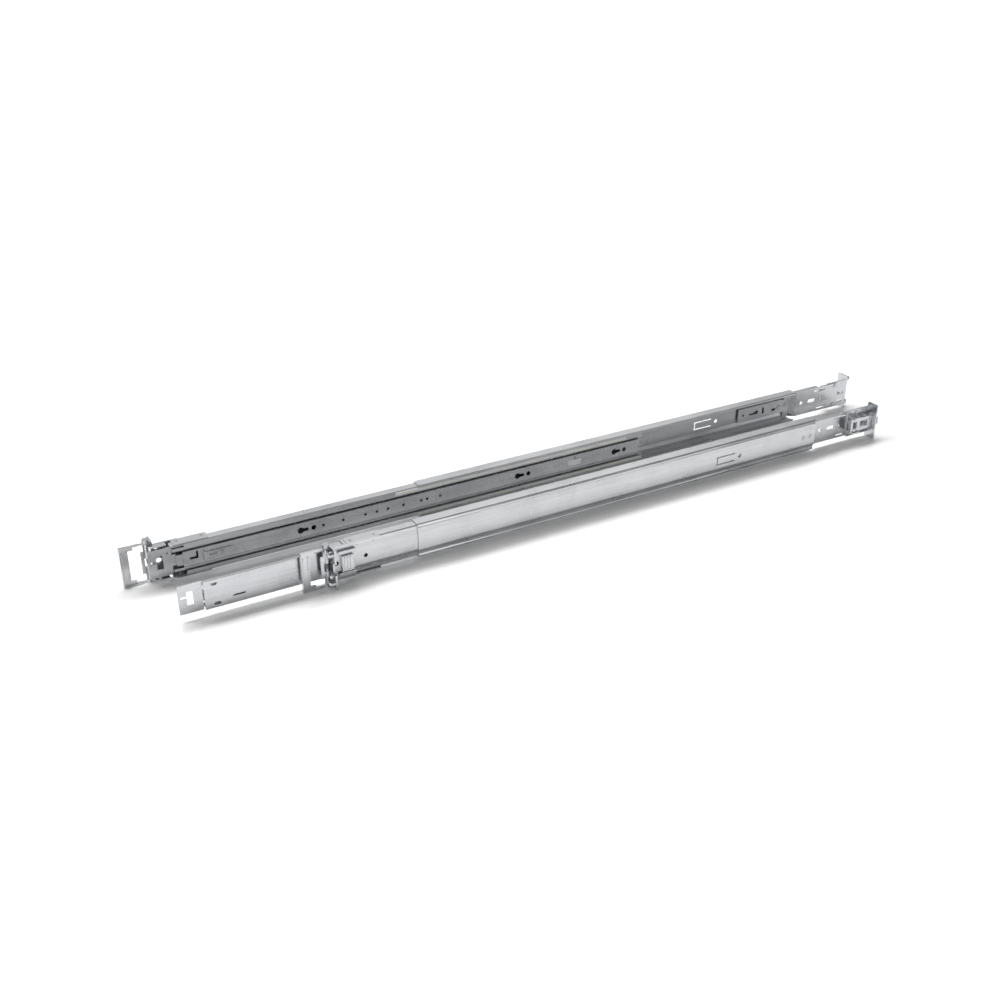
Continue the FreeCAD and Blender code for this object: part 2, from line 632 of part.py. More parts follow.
def inner_member(rail):
    """The member that carries the server: keyholes for its pins, and the plain holes between."""
    outline = [
        (INNER_FACE, "0"),
        (INNER_FACE, INNER_TOP),
        (INNER_EDGE, INNER_TOP),
        (INNER_EDGE, "%s - member_wall" % INNER_TOP),
        ("%s - member_wall" % INNER_FACE, "%s - member_wall" % INNER_TOP),
        ("%s - member_wall" % INNER_FACE, "0"),
    ]
    body = channel(rail, outline, "inner_start", MEMBER_END, [
        ("1.4", [(INNER_FACE, INNER_TOP)]),
    ])
    y0 = "%s - member_wall - 0.4" % INNER_FACE
    y1 = "%s + 1" % INNER_FACE
    long = "(%s) - (%s)" % (y1, y0)
    tools = []
    for x in KEYHOLES:
        tools.append(rod(rail, "y", "%s + 3.4" % x, y0, "0", "3.4", long))
        tools.append(slot(rail, "%s + 3.4" % x, "%s + 12" % x, y0, y1, "0", "3.6"))
        tools.append(rod(rail, "y", "%s + 17.5" % x, y0, "0", "2.6", long))
    tools += [rod(rail, "y", x, y0, "0", "1.5", long) for x in PLAIN_HOLES]
    tools.append(box(rail, DAMPER_START, DAMPER_END, y0, y1, "-4.2", "2.6"))
    tools.append(rod(rail, "y", "%s + 9" % DAMPER_START, y0, "5.2", "1.2", long))
    tools.append(box(rail, "inner_start + 13", "inner_start + 15", y0, y1, "-1.4", "6.6"))
    tools.append(box(rail, "inner_start + 6.5", "inner_start + 15", y0, y1, "-1.4", "1"))
    tools.append(rod(rail, "y", "inner_start + 22", y0, "-4", "1", long))
    tools.append(rod(rail, "y", LEVER_X, y0, "0", "rivet_size / 4", long))
    flat = "%s - member_wall" % INNER_TOP
    slabs = [
        (INNER_EDGE, INNER_FACE, flat, INNER_TOP),
        (INNER_EDGE, INNER_FACE, "-(%s)" % flat, flat),
        (INNER_EDGE, INNER_FACE, "-%s" % INNER_TOP, "-(%s)" % flat),
    ]
    parted = walls(rail, cut(body, tools), "inner_start", MEMBER_END, slabs)
    return rail.publish(parted, "inner_member", "-(%s)" % rail.slide_out)


def inner_damper(rail):
    """Nylon block clipped in the inner member's window, which slows the last of the travel."""
    back = "(%s - member_wall)" % INNER_FACE
    solid = [
        box(rail, "%s + 0.1" % DAMPER_START, "%s - 0.1" % DAMPER_END, back, "%s - 0.2" % INNER_FACE, "-4.1", "2.5"),
        box(rail, "%s - 3" % DAMPER_START, "%s + 3" % DAMPER_END, "%s - 2" % back, back, "-6.2", "4.4"),
    ]
    return rail.publish(fuse(solid), "inner_damper", "-(%s)" % rail.slide_out)


def tip_plate(rail):
    """Front end of the slide: a plate with the lock's window, and a neck that steps behind the inner member."""
    face = "(tip_back + member_wall)"
    lap_face = "(%s - member_wall)" % INNER_FACE
    solid = [
        box(rail, "tip_start", "tip_end", "tip_back", face, "-tip_half", "tip_half"),
        box(rail, "tip_end - 1", "tip_step", "tip_back", face, "-tip_neck", "tip_neck"),
        box(rail, "tip_step - member_wall", "tip_step", "tip_back", lap_face, "-tip_neck", "tip_neck"),
        box(rail, "tip_step - member_wall", "inner_start + 6", "%s - member_wall" % lap_face, lap_face,
            "-tip_neck", "tip_neck"),
    ]
    y0 = "tip_back - 1"
    y1 = "%s + 1" % face
    tools = [
        box(rail, "tip_start + 7.7", "tip_start + 14.1", y0, y1, "-7", "8"),
        box(rail, "tip_start + 2", "tip_start + 9", y0, y1, "0.5", "3.5"),
        rod(rail, "y", "tip_start + 19", y0, "9", "1", "4"),
    ]
    return rail.publish(cut(fuse(solid), tools), "tip_plate", "-(%s)" % rail.slide_out)


def ball_places(start, long):
    """Where the end balls of a race sit along its retainer."""
    return ["%s + 6" % start, "%s + %s - 6" % (start, long)]


def retainer(rail, label, start, long, y, z, y0, y1, shift):
    """A pair of pierced strips that keep the balls apart, one in each race."""
    places = ball_places(start, long)
    end = "%s + %s" % (start, long)
    strips = []
    for sign in ("", "-"):
        middle = "%s(%s)" % (sign, z)
        strip = box(rail, start, end, y0, y1, "%s - retainer_wall / 2" % middle, "%s + retainer_wall / 2" % middle)
        holes = [rod(rail, "z", x, y, "%s - 1" % middle, "ball_size / 2 + pocket_clearance", "2") for x in places]
        strips.append(cut(strip, holes))
    return rail.publish(group(strips), label, shift)


def balls(rail, label, start, long, y, z, shift):
    made = []
    for x in ball_places(start, long):
        for sign in ("", "-"):
            ball = doc.addObject("Part::Sphere", "Ball")
            tie(ball, "Radius", "ball_size / 2")
            tie(ball, ".Placement.Base.x", x)
            tie(ball, ".Placement.Base.y", rail.y(y))
            tie(ball, ".Placement.Base.z", "%s(%s)" % (sign, z))
            made.append(ball)
    return rail.publish(group(made), label, shift)


def rear_bumper(rail):
    """Nylon stops on the front channel's flanges, above and below, that the closed slide comes up to."""
    web = "(%s + front_channel_wall + web_proud)" % NEST
    start = MEMBER_END + " + 0.6"
    blocks = pair_of_boxes(rail, start, FRONT_END + " + 1", web + " + 0.2", "11", "10.6", FRONT_RACE)
    feet = [rod(rail, "z", FRONT_END + " - 1.5", "7", z, "rivet_size / 4", "front_channel_wall")
            for z in (FRONT_RACE, "-" + FRONT_HALF)]
    return rail.publish(group([fuse(list(parts)) for parts in zip(blocks, feet)]), "rear_bumper")


def release_lever(rail):
    """Spring lever on the inner member that frees it from the rail; drawn about its rivet."""
    y0 = "0.15"
    solid = [
        box(rail, "-17", "9", y0, "%s + 1.1" % y0, "-3.2", "3.2"),
        box(rail, "-19", "-17", y0, "%s + 3.4" % y0, "-5", "5"),
        rod(rail, "y", "9", y0, "0", "3.2", "1.1"),
    ]
    tools = [
        rod(rail, "y", "0", "-1", "0", "rivet_size / 4 + pin_clearance", "4"),
        slot(rail, "-13.5", "-5", "-1", "3", "0", "2.4"),
    ]
    lever = cut(fuse(solid), tools)
    return rail.publish_at(lever, "release_lever", LEVER_X, INNER_FACE, "-(%s)" % rail.slide_out)


def lever_rivet(rail):
    back = "%s - member_wall" % INNER_FACE
    solid = [
        rod(rail, "y", LEVER_X, back, "0", "rivet_size / 4", "member_wall + 1.7"),
        rod(rail, "y", LEVER_X, "%s - 0.5" % back, "0", "rivet_size / 2", "0.5"),
        rod(rail, "y", LEVER_X, "%s + 1.5" % INNER_FACE, "0", "rivet_size / 2", "0.6"),
    ]
    return rail.publish(fuse(solid), "lever_rivet", "-(%s)" % rail.slide_out)


def rear_arm(rail):
    """Strap riveted in the rear channel that steps to the rail's inner side and carries the rear flange."""
    strap_face = "(strap_back + arm_wall)"
    step_start = "(-rear_overhang - 1)"
    step_end = "(-rear_overhang + 6)"
    strap = [box(rail, "-arm_reach", step_start, "strap_back", strap_face, "-arm_inner_half", "arm_inner_half")]
    strap += [rod(rail, "y", x, "rear_channel_wall", "0", "4", "strap_back - rear_channel_wall")
              for x in ARM_RIVETS]
    strap_tools = [rod(rail, "y", x, "0", "0", "rivet_size / 2", "6") for x in ARM_RIVETS]
    strap_tools += [
        slot(rail, "-arm_reach + 17", "-arm_reach + 32", "2", "5", "0", "5"),
        box(rail, "-arm_reach + 38", "-arm_reach + 41", "2", "5", "-4", "4"),
        slot(rail, "-arm_reach + 53", "-arm_reach + 60", "2", "5", "-2", "3"),
        rod(rail, "y", "-arm_reach + 8", "2", "0", "1.5", "3"),
    ]
    solid = [
        step_wall(rail, step_start, step_end, "strap_back", ARM_BACK, "arm_inner_half"),
        box(rail, step_end, "-18", ARM_BACK, "arm_face", "-arm_half", "arm_half"),
        box(rail, step_end, "-50", "%s - 5" % ARM_BACK, ARM_BACK, "arm_half - arm_wall", "arm_half"),
    ]
    y0 = "%s - 1" % ARM_BACK
    y1 = "arm_face + 1"
    tools = [
        rod(rail, "y", "-78", y0, "0", "2.3", "arm_wall + 2"),
        slot(rail, "-67", "-55", y0, y1, "0", "5"),
        rod(rail, "y", "-47", y0, "0", "1.5", "arm_wall + 2"),
        slot(rail, "-57", "-37", y0, y1, "arm_half - 4.6", "2"),
        slot(rail, "-51", "-39", y0, y1, "3.4 - arm_half", "2"),
    ]
    tools += [rod(rail, "y", x, y0, z, "rivet_size / 2", "arm_wall + 2") for x, z in BRACKET_RIVETS]
    return rail.publish(group([cut(fuse(strap), strap_tools), cut(fuse(solid), tools)]), "rear_arm", rail.depth)


def step_wall(rail, x0, x1, y0, y1, half):
    """The slanting part of a strap that steps sideways from y0 to y1, as thick as the arm."""
    body = doc.addObject("PartDesign::Body", "Step")
    sketch = body.newObject("Sketcher::SketchObject", "StepSection")
    plane = [item for item in body.Origin.OriginFeatures if item.Role == "XY_Plane"][0]
    sketch.AttachmentSupport = [(plane, "")]
    sketch.MapMode = "FlatFace"
    points = [(x0, y0), (x1, y1), (x1, "%s + arm_wall" % y1), (x0, "%s + arm_wall" % y0)]
    places = [(value(x), value(rail.y(y))) for x, y in points]
    corners = [FreeCAD.Vector(x, y, 0) for x, y in places]
    sketch.addGeometry([Part.LineSegment(corners[i], corners[(i + 1) % 4]) for i in range(4)])
    sketch.addConstraint([Sketcher.Constraint("Coincident", i, 2, (i + 1) % 4, 1) for i in range(4)])
    sketch.addConstraint([Sketcher.Constraint("DistanceX", -1, 1, i, 1, places[i][0]) for i in range(4)]
                         + [Sketcher.Constraint("DistanceY", -1, 1, i, 1, places[i][1]) for i in range(4)])
    for i, (x, y) in enumerate(points):
        tie(sketch, "Constraints[%d]" % (4 + i), x)
        tie(sketch, "Constraints[%d]" % (8 + i), rail.y(y))
    pad = body.newObject("PartDesign::Pad", "Height")
    pad.Profile = sketch
    tie(pad, "Length", "2 * %s" % half)
    pad.Midplane = True
    doc.recompute()
    return body


def rear_bracket(rail):
    """Peg flange at the rear post, its side plate, and two lugs for the latch pin."""
    half = "bracket_half"
    solid = [
        box(rail, "-bracket_wall", "0", "-rear_flange_reach", ARM_BACK, "-%s" % half, half),
        box(rail, "-latch_pivot - 5", "0", BRACKET_BACK, ARM_BACK,
            "-rear_channel_high / 2 + 2", "rear_channel_high / 2 - 2"),
    ]
    solid += pair_of_boxes(rail, "-latch_pivot - 4", "-latch_pivot + 6", "latch_pivot_y - 3.5", ARM_BACK,
                           "latch_half + 0.5", "latch_half + 2.1")
    tools = [box(rail, "-bracket_wall - 1", "1", "latch_pivot_y - 1.5", "latch_pivot_y + 5.9",
                 "-latch_tongue_half - 0.8", "latch_tongue_half + 0.8")]
    tools += [box(rail, "-15", "-5", "%s - 1" % BRACKET_BACK, "%s + 1" % ARM_BACK, z0, z1)
              for z0, z1 in (("-1.3", "3.3"), ("-12.3", "-7.7"))]
    tools += [rod(rail, "x", "-bracket_wall - 1", "rear_peg_y", z, "peg_size / 2 - 0.9", "bracket_wall + 2")
              for z in ("peg_spacing / 2", "-peg_spacing / 2")]
    tools += [rod(rail, "z", "-latch_pivot", "latch_pivot_y", "-latch_half - 3", "hinge_pin_size / 2",
                  "2 * latch_half + 6")]
    tools += [rod(rail, "y", x, "%s - 1" % BRACKET_BACK, z, "rivet_size / 2", "bracket_wall + 2")
              for x, z in BRACKET_RIVETS]
    return rail.publish(cut(fuse(solid), tools), "rear_bracket", rail.depth)


def rear_latch(rail):
    """Sprung hook that snaps round the rear post's edge; drawn about its pin."""
    tip = "latch_pivot + latch_hook_gap"
    tongue = "latch_tongue_half"
    solid = [
        box(rail, "-8", "latch_pivot - bracket_wall - 1.5", "-0.7", "0.7", "-latch_half", "latch_half"),
        box(rail, "latch_pivot - bracket_wall - 2", tip, "-0.7", "0.7", "-%s" % tongue, tongue),
        box(rail, tip, "%s + 1.6" % tip, "-3.4", "0.7", "-%s" % tongue, tongue),
        rod(rail, "z", "0", "0", "-latch_half", "knuckle_size / 2", "2 * latch_half"),
        box(rail, "-9.4", "-8", "-3.4", "0.7", "-latch_half", "latch_half"),
    ]
    tools = [
        rod(rail, "z", "0", "0", "-latch_half - 1", "hinge_pin_size / 2 + pin_clearance", "2 * latch_half + 2"),
        box(rail, "-3.2", "3.2", "-3.2", "3.2", "-4.5", "4.5"),
        box(rail, "8", "20", "-3", "3", "-4", "4"),
    ]
    return rail.publish_at(cut(fuse(solid), tools), "rear_latch", "-latch_pivot", "latch_pivot_y", rail.depth)


def build_rail(rail):
    out = "-(%s)" % rail.slide_out
    half_out = "-(%s) / 2" % rail.slide_out
    front_channel(rail)
    glide_strips(rail)
    rear_bumper(rail)
    front_bracket(rail)
    pegs(rail, "front_pegs", "-peg_out", -1, "0")
    tab_rivets(rail)
    headed_pin(rail, "hinge_pin", "-hinge_ahead", HINGE_Y, "bracket_half - pin_head_high", "knob_high")
    securing_plate(rail)
    coil_spring(rail, "securing_spring", "-hinge_ahead", HINGE_Y, "0", [
        ("-6.4", "-1.4", "plate_wall / 2 + 0.05", "plate_wall / 2 + 0.05 + spring_wall", "3.3"),
        ("1.2", "hinge_ahead", "-plate_wall / 2", "-plate_wall / 2 + spring_wall", "-3.3"),
    ])
    release_button(rail)
    button_spring(rail)
    rear_channel(rail)
    rear_arm(rail)
    rivets(rail, "arm_rivets", [(x, "0") for x in ARM_RIVETS], "0", "strap_back + arm_wall", rail.depth)
    rear_bracket(rail)
    rivets(rail, "bracket_rivets", BRACKET_RIVETS, BRACKET_BACK, "arm_face", rail.depth)
    pegs(rail, "rear_pegs", "rear_peg_y", 1, rail.depth)
    rear_latch(rail)
    headed_pin(rail, "latch_pin", "-latch_pivot", "latch_pivot_y", "latch_half + 2.1", "", rail.depth)
    coil_spring(rail, "latch_spring", "-latch_pivot", "latch_pivot_y", rail.depth, [
        ("1.2", "6", "0.7", "0.7 + spring_wall", "3.3"),
        ("-1.4", "-0.8", "1", "%s - latch_pivot_y - 0.05" % BRACKET_BACK, "-3.3"),
    ])
    middle_member(rail)
    inner_member(rail)
    tip_plate(rail)
    inner_damper(rail)
    release_lever(rail)
    lever_rivet(rail)
    outer = ("outer_retainer_start", "outer_retainer_long", OUTER_BALL_Y, OUTER_BALL_Z)
    inner = ("inner_retainer_start", "inner_retainer_long", INNER_BALL_Y, INNER_BALL_Z)
    outer_side = ("%s + middle_shoulder_deep + 0.3" % MIDDLE_WEB, "%s + 0.4" % MIDDLE_EDGE)
    inner_side = ("%s - 0.1" % INNER_EDGE, "%s - member_wall - 0.2" % MIDDLE_EDGE)
    retainer(rail, "outer_retainer", *outer, *outer_side, half_out)
    balls(rail, "outer_balls", *outer, half_out)
    retainer(rail, "inner_retainer", *inner, *inner_side, out)
    balls(rail, "inner_balls", *inner, out)


for rail_name, rail_hand in (("left", -1), ("right", 1)):
    build_rail(Rail(rail_name, rail_hand))
doc.recompute()

for item in doc.Objects:
    if "Invalid" in item.State or "Error" in item.State:
        raise RuntimeError("%s did not build: %s" % (item.Label, item.State))
for piece in SUB_PARTS:
    if piece.Shape.isNull() or not piece.Shape.isValid():
        raise RuntimeError("%s has no sound shape" % piece.Label)

os.makedirs("parts", exist_ok=True)
for piece in SUB_PARTS:
    piece.Shape.exportStep("parts/%s.step" % piece.Label)
print("%d pieces written" % len(SUB_PARTS))
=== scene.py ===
import json
import math
import bmesh
import bpy
from mathutils import Euler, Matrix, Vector


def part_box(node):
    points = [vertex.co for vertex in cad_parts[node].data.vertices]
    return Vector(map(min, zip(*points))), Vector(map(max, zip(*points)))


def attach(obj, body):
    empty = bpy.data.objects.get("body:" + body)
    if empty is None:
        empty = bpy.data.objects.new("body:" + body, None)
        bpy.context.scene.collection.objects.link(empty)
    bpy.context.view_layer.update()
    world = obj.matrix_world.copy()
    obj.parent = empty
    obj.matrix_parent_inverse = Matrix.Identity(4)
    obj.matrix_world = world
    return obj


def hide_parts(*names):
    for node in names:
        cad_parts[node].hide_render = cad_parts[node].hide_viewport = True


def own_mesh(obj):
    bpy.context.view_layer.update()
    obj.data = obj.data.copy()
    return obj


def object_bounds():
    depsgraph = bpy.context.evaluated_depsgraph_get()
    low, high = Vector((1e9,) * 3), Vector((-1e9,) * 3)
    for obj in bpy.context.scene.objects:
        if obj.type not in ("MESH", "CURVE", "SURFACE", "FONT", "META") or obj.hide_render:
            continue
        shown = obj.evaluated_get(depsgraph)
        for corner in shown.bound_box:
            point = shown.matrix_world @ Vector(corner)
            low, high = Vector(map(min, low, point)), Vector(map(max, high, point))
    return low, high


# A pair of ball-bearing server rails in bright zinc-plated steel, lying on a white
# studio table.  Lengths are in metres; MM turns millimetres into metres.  +X runs to
# the rear of the rack, +Z is up, and each rail's own sizes are read from its CAD pieces.

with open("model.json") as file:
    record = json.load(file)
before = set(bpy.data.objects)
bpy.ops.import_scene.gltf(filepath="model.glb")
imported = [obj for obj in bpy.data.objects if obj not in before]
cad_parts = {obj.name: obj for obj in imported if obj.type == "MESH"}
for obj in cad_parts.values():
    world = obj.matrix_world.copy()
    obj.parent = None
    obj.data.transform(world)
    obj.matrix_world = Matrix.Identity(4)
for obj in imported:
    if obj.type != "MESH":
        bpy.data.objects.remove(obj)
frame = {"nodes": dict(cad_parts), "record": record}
cad_box = [list(corner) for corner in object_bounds()]

MM = 0.001
RAILS = {"left": -1, "right": 1}     # which way along Y each rail's server side faces


# ---------------------------------------------------------------- colours and nodes

def linear(hex_colour):
    """sRGB hex to the linear values that Blender's sockets take, with full alpha."""
    parts = [int(hex_colour[i:i + 2], 16) / 255 for i in (1, 3, 5)]
    return [c / 12.92 if c <= 0.04045 else ((c + 0.055) / 1.055) ** 2.4 for c in parts] + [1.0]


def add(tree, kind, inputs=None, **settings):
    """Adds a node; inputs gives each socket a value, or another node's output to link."""
    made = tree.nodes.new(kind)
    for name, setting in settings.items():
        setattr(made, name, setting)
    for name, given in (inputs or {}).items():
        if isinstance(given, bpy.types.NodeSocket):
            tree.links.new(given, made.inputs[name])
        else:
            made.inputs[name].default_value = given
    return made


def new_material(name):
    """A material with an empty node tree, and that tree."""
    material = bpy.data.materials.new(name)
    material.use_nodes = True
    material.node_tree.nodes.clear()
    return material, material.node_tree


def per_mm(size):
    """The texture scale whose features come out about this many millimetres wide."""
    return 1 / (size * MM)


# ---------------------------------------------------------------- materials

NOISE_LOW, NOISE_HIGH = 0.3, 0.7     # nearly all values of a noise texture lie between these


def zinc_plated_steel(name, light, dark, roughness):
    """Bright zinc on cold-rolled strip: fine streaks along the rolling direction, a faint
    cloudiness left by the plating bath, and a satin gloss that changes with handling."""
    line_length, line_width = 60, 0.8     # rolling lines in mm, drawn coarser than the real 0.1
    cloud_width = 35                      # in mm
    line_depth = 0.02 * MM
    glossier, duller = 0.05, 0.07         # how far handling moves the roughness each way
    material, tree = new_material(name)
    place = add(tree, "ShaderNodeTexCoord").outputs["Object"]
    rolling = add(tree, "ShaderNodeMapping", {
        "Vector": place,
        "Scale": (per_mm(line_length), per_mm(line_width), per_mm(line_width)),
    })
    streaks = add(tree, "ShaderNodeTexNoise", {
        "Vector": rolling.outputs["Vector"], "Scale": 1.0, "Detail": 4.0, "Roughness": 0.6,
    })
    clouds = add(tree, "ShaderNodeTexNoise", {
        "Vector": place, "Scale": per_mm(cloud_width), "Detail": 3.0,
    })
    sum_low, sum_high = 0.75, 1.25        # nearly all sums of streaks and clouds lie between
    both = add(tree, "ShaderNodeMath", {
        0: streaks.outputs["Fac"], 1: clouds.outputs["Fac"],
    }, operation="ADD")
    spread = add(tree, "ShaderNodeMapRange", {
        "Value": both.outputs[0], "From Min": sum_low, "From Max": sum_high,
        "To Min": 0.0, "To Max": 1.0,
    })
    colour = add(tree, "ShaderNodeMix", {
        "Factor": spread.outputs[0], "A": linear(dark), "B": linear(light),
    }, data_type="RGBA")
    gloss = add(tree, "ShaderNodeMapRange", {
        "Value": clouds.outputs["Fac"], "From Min": NOISE_LOW, "From Max": NOISE_HIGH,
        "To Min": roughness - glossier, "To Max": roughness + duller,
    })
    rolled = add(tree, "ShaderNodeBump", {
        "Height": streaks.outputs["Fac"], "Strength": 0.25, "Distance": line_depth,
    })
    shader = add(tree, "ShaderNodeBsdfPrincipled", {
        "Base Color": colour.outputs["Result"], "Metallic": 1.0,
        "Roughness": gloss.outputs[0], "Normal": rolled.outputs[0],
    })
    add(tree, "ShaderNodeOutputMaterial", {"Surface": shader.outputs[0]})
    return material


def turned_steel(name, light, roughness):
    """Small headed and turned parts, barrel plated: even colour, with fine random nicks that
    break up the highlights."""
    nick_width = 1.2     # in mm
    nick_depth = 0.05 * MM
    wear = 0.06          # how far the nicks move the roughness each way
    material, tree = new_material(name)
    place = add(tree, "ShaderNodeTexCoord").outputs["Object"]
    nicks = add(tree, "ShaderNodeTexNoise", {
        "Vector": place, "Scale": per_mm(nick_width), "Detail": 2.0,
    })
    gloss = add(tree, "ShaderNodeMapRange", {
        "Value": nicks.outputs["Fac"], "From Min": NOISE_LOW, "From Max": NOISE_HIGH,
        "To Min": roughness - wear, "To Max": roughness + wear,
    })
    nicked = add(tree, "ShaderNodeBump", {
        "Height": nicks.outputs["Fac"], "Strength": 0.15, "Distance": nick_depth,
    })
    shader = add(tree, "ShaderNodeBsdfPrincipled", {
        "Base Color": linear(light), "Metallic": 1.0,
        "Roughness": gloss.outputs[0], "Normal": nicked.outputs[0],
    })
    add(tree, "ShaderNodeOutputMaterial", {"Surface": shader.outputs[0]})
    return material


def moulded_nylon(name, tint):
    """Natural nylon 66: milky, slightly see-through at the edges, with a fine moulded grain."""
    grain_width = 0.4     # in mm
    grain_depth = 0.03 * MM
    glow_depth = 1.0 * MM     # how far light spreads inside
    material, tree = new_material(name)
    place = add(tree, "ShaderNodeTexCoord").outputs["Object"]
    grain = add(tree, "ShaderNodeTexNoise", {
        "Vector": place, "Scale": per_mm(grain_width), "Detail": 2.0,
    })
    moulded = add(tree, "ShaderNodeBump", {
        "Height": grain.outputs["Fac"], "Strength": 0.12, "Distance": grain_depth,
    })
    shader = add(tree, "ShaderNodeBsdfPrincipled", {
        "Base Color": linear(tint), "Roughness": 0.42, "IOR": 1.53, "Normal": moulded.outputs[0],
        "Subsurface Weight": 0.15, "Subsurface Scale": glow_depth,
    })
    add(tree, "ShaderNodeOutputMaterial", {"Surface": shader.outputs[0]})
    return material


FINISHES = {
    "zinc_channel": zinc_plated_steel("zinc_plated_channel", "#DCDDDF", "#C6C8CA", 0.30),
    "zinc_bracket": zinc_plated_steel("zinc_plated_bracket", "#D4D6D8", "#BFC1C4", 0.27),
    "zinc_plate": zinc_plated_steel("zinc_plated_small_pressing", "#DADBDD", "#C4C6C8", 0.26),
    "slide_steel": zinc_plated_steel("zinc_plated_slide_member", "#D6D8DA", "#C0C2C5", 0.25),
    "retainer_steel": zinc_plated_steel("ball_retainer_strip", "#B4B6B9", "#9FA1A4", 0.30),
    "peg_steel": turned_steel("turned_peg_steel", "#C3C5C8", 0.24),
    "rivet_steel": turned_steel("headed_rivet_steel", "#BEC0C3", 0.28),
    "ball_steel": turned_steel("bearing_ball_steel", "#D5D7DA", 0.10),
    "spring_steel": turned_steel("stainless_spring_wire", "#8E9093", 0.25),
    "white_nylon": moulded_nylon("white_nylon", "#EDEDE9"),
}

for part in frame["record"]["subparts"]:
    solid = frame["nodes"][part["node"]]
    solid.data.materials.clear()
    solid.data.materials.append(FINISHES[part["material_slot"]])


# ---------------------------------------------------------------- places on the rails

SHEET = 1.4 * MM         # thickness of the channels' sheet
FLANGE_REACH = 12 * MM   # from a rail's outer face to the front flange's outer edge


def outer_side(side, node):
    """The Y of a CAD piece's side that faces away from the server."""
    low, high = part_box("%s_%s" % (side, node))
    return low.y if RAILS[side] > 0 else high.y


def front_point(side, x, y, z):
    """Millimetres in a rail's own frame: from the front face, the outer face and mid height."""
    front_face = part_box("%s_front_bracket" % side)[0].x
    outer_edge = outer_side(side, "front_bracket")
    return Vector((front_face + x * MM, outer_edge + RAILS[side] * (FLANGE_REACH + y * MM), z * MM))


def rear_point(side, x, y, z):
    """The same, with x from the rear face."""
    rear_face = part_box("%s_rear_bracket" % side)[1].x
    outer_face = outer_side(side, "rear_channel")
    return Vector((rear_face + x * MM, outer_face + RAILS[side] * y * MM, z * MM))


def above_and_below(bottom, top):
    """A span of heights, and the same one mirrored below mid height."""
    return (bottom, top), (-top, -bottom)


# ---------------------------------------------------------------- building shapes

def new_piece(name, mesh, finish, body, stands_for=None):
    """A piece of the object: its finish, the body it moves with and the CAD node it stands for."""
    mesh.materials.append(FINISHES[finish])
    piece = bpy.data.objects.new(name, mesh)
    bpy.context.collection.objects.link(piece)
    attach(piece, body)
    if stands_for:
        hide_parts(stands_for)
    return piece


def as_mesh(name, shape):
    """Turns a bmesh into a mesh, and frees it."""
    mesh = bpy.data.meshes.new(name)
    shape.to_mesh(mesh)
    shape.free()
    return mesh


def directions_across(axis):
    """Two directions at right angles to an axis and to each other."""
    across = axis.orthogonal().normalized()
    return across, axis.cross(across).normalized()


def circle(across, over, sides):
    """Evenly spaced directions all round, from one direction towards another."""
    angles = [2 * math.pi * k / sides for k in range(sides)]
    return [math.cos(angle) * across + math.sin(angle) * over for angle in angles]


def band(shape, ring, after):
    """The faces between two rings of equally many points."""
    count = len(ring)
    return [shape.faces.new((ring[k], ring[(k + 1) % count], after[(k + 1) % count], after[k]))
            for k in range(count)]


def prism(shape, near, far):
    """The closed solid between two equal outlines: its two end faces, then the faces between."""
    made = [shape.faces.new(near), shape.faces.new(far)] + band(shape, near, far)
    bmesh.ops.recalc_face_normals(shape, faces=made)
    return made


def swept_wire(name, path, radius, sides=8):
    """A round wire along a path of points, closed at both ends."""
    shape = bmesh.new()
    rings = []
    for index, point in enumerate(path):
        ahead = path[min(index + 1, len(path) - 1)] - path[max(index - 1, 0)]
        if rings:
            across = (across - across.project(ahead)).normalized()
        else:
            across = ahead.orthogonal().normalized()
        over = ahead.cross(across).normalized()
        rings.append([shape.verts.new(point + radius * out) for out in circle(across, over, sides)])
    for ring, after in zip(rings, rings[1:]):
        band(shape, ring, after)
    shape.faces.new(reversed(rings[0]))
    shape.faces.new(rings[-1])
    for face in shape.faces:
        face.smooth = True
    return as_mesh(name, shape)


def helix(start, end, radius, turns, steps=18):
    """Points of a coil from one point of its axis to the other."""
    axis = end - start
    across, over = directions_across(axis)
    count = int(turns * steps)
    angles = [2 * math.pi * turns * k / count for k in range(count + 1)]
    return [start + axis * (k / count) + radius * (math.cos(a) * across + math.sin(a) * over)
            for k, a in enumerate(angles)]


def dome(shape, centre, outward, radius, height, sides=20, rings=4):
    """A shallow pressed dome on a flat wall."""
    round_about = circle(*directions_across(outward), sides)
    last = None
    for ring in range(rings):
        lean = math.pi / 2 * ring / rings
        level = [shape.verts.new(centre + radius * math.cos(lean) * out
                                 + height * math.sin(lean) * outward) for out in round_about]
        if last:
            for face in band(shape, last, level):
                face.smooth = True
        last = level
    top = shape.verts.new(centre + height * outward)
    for k in range(sides):
        shape.faces.new((last[k], last[(k + 1) % sides], top)).smooth = True


def upright_strips(side, label, outline, spans, finish, body, point=front_point, edge=0.25):
    """Bent-up strips of sheet with eased edges: an outline seen from above, drawn out over each
    span of heights.  All of it is in millimetres."""
    name = "%s_%s" % (side, label)
    shape = bmesh.new()
    for bottom, top in spans:
        lower = [shape.verts.new(point(side, x, y, bottom)) for x, y in outline]
        upper = [shape.verts.new(point(side, x, y, top)) for x, y in outline]
        edges = dict.fromkeys(line for face in prism(shape, lower, upper) for line in face.edges)
        bmesh.ops.bevel(shape, geom=list(edges), offset=edge * MM, segments=2,
                        affect="EDGES", profile=0.5)
    new_piece(name, as_mesh(name, shape), finish, body)


# ---------------------------------------------------------------- springs

TORSION_WIRE = 0.3 * MM      # radius of the wire
TORSION_COIL = 1.35 * MM     # radius of the coil, to the middle of the wire
TORSION_HALF = 3.3 * MM      # half of the coil's height
TORSION_TURNS = 11

# Each leg's tip, in mm rearwards of the pin and towards the server; True for the coil's lower end.
SECURING_LEGS = ((3.4, -0.4, True), (-6.2, 1.0, False))
LATCH_LEGS = ((-1.1, 6.6, True), (5.8, 1.0, False))


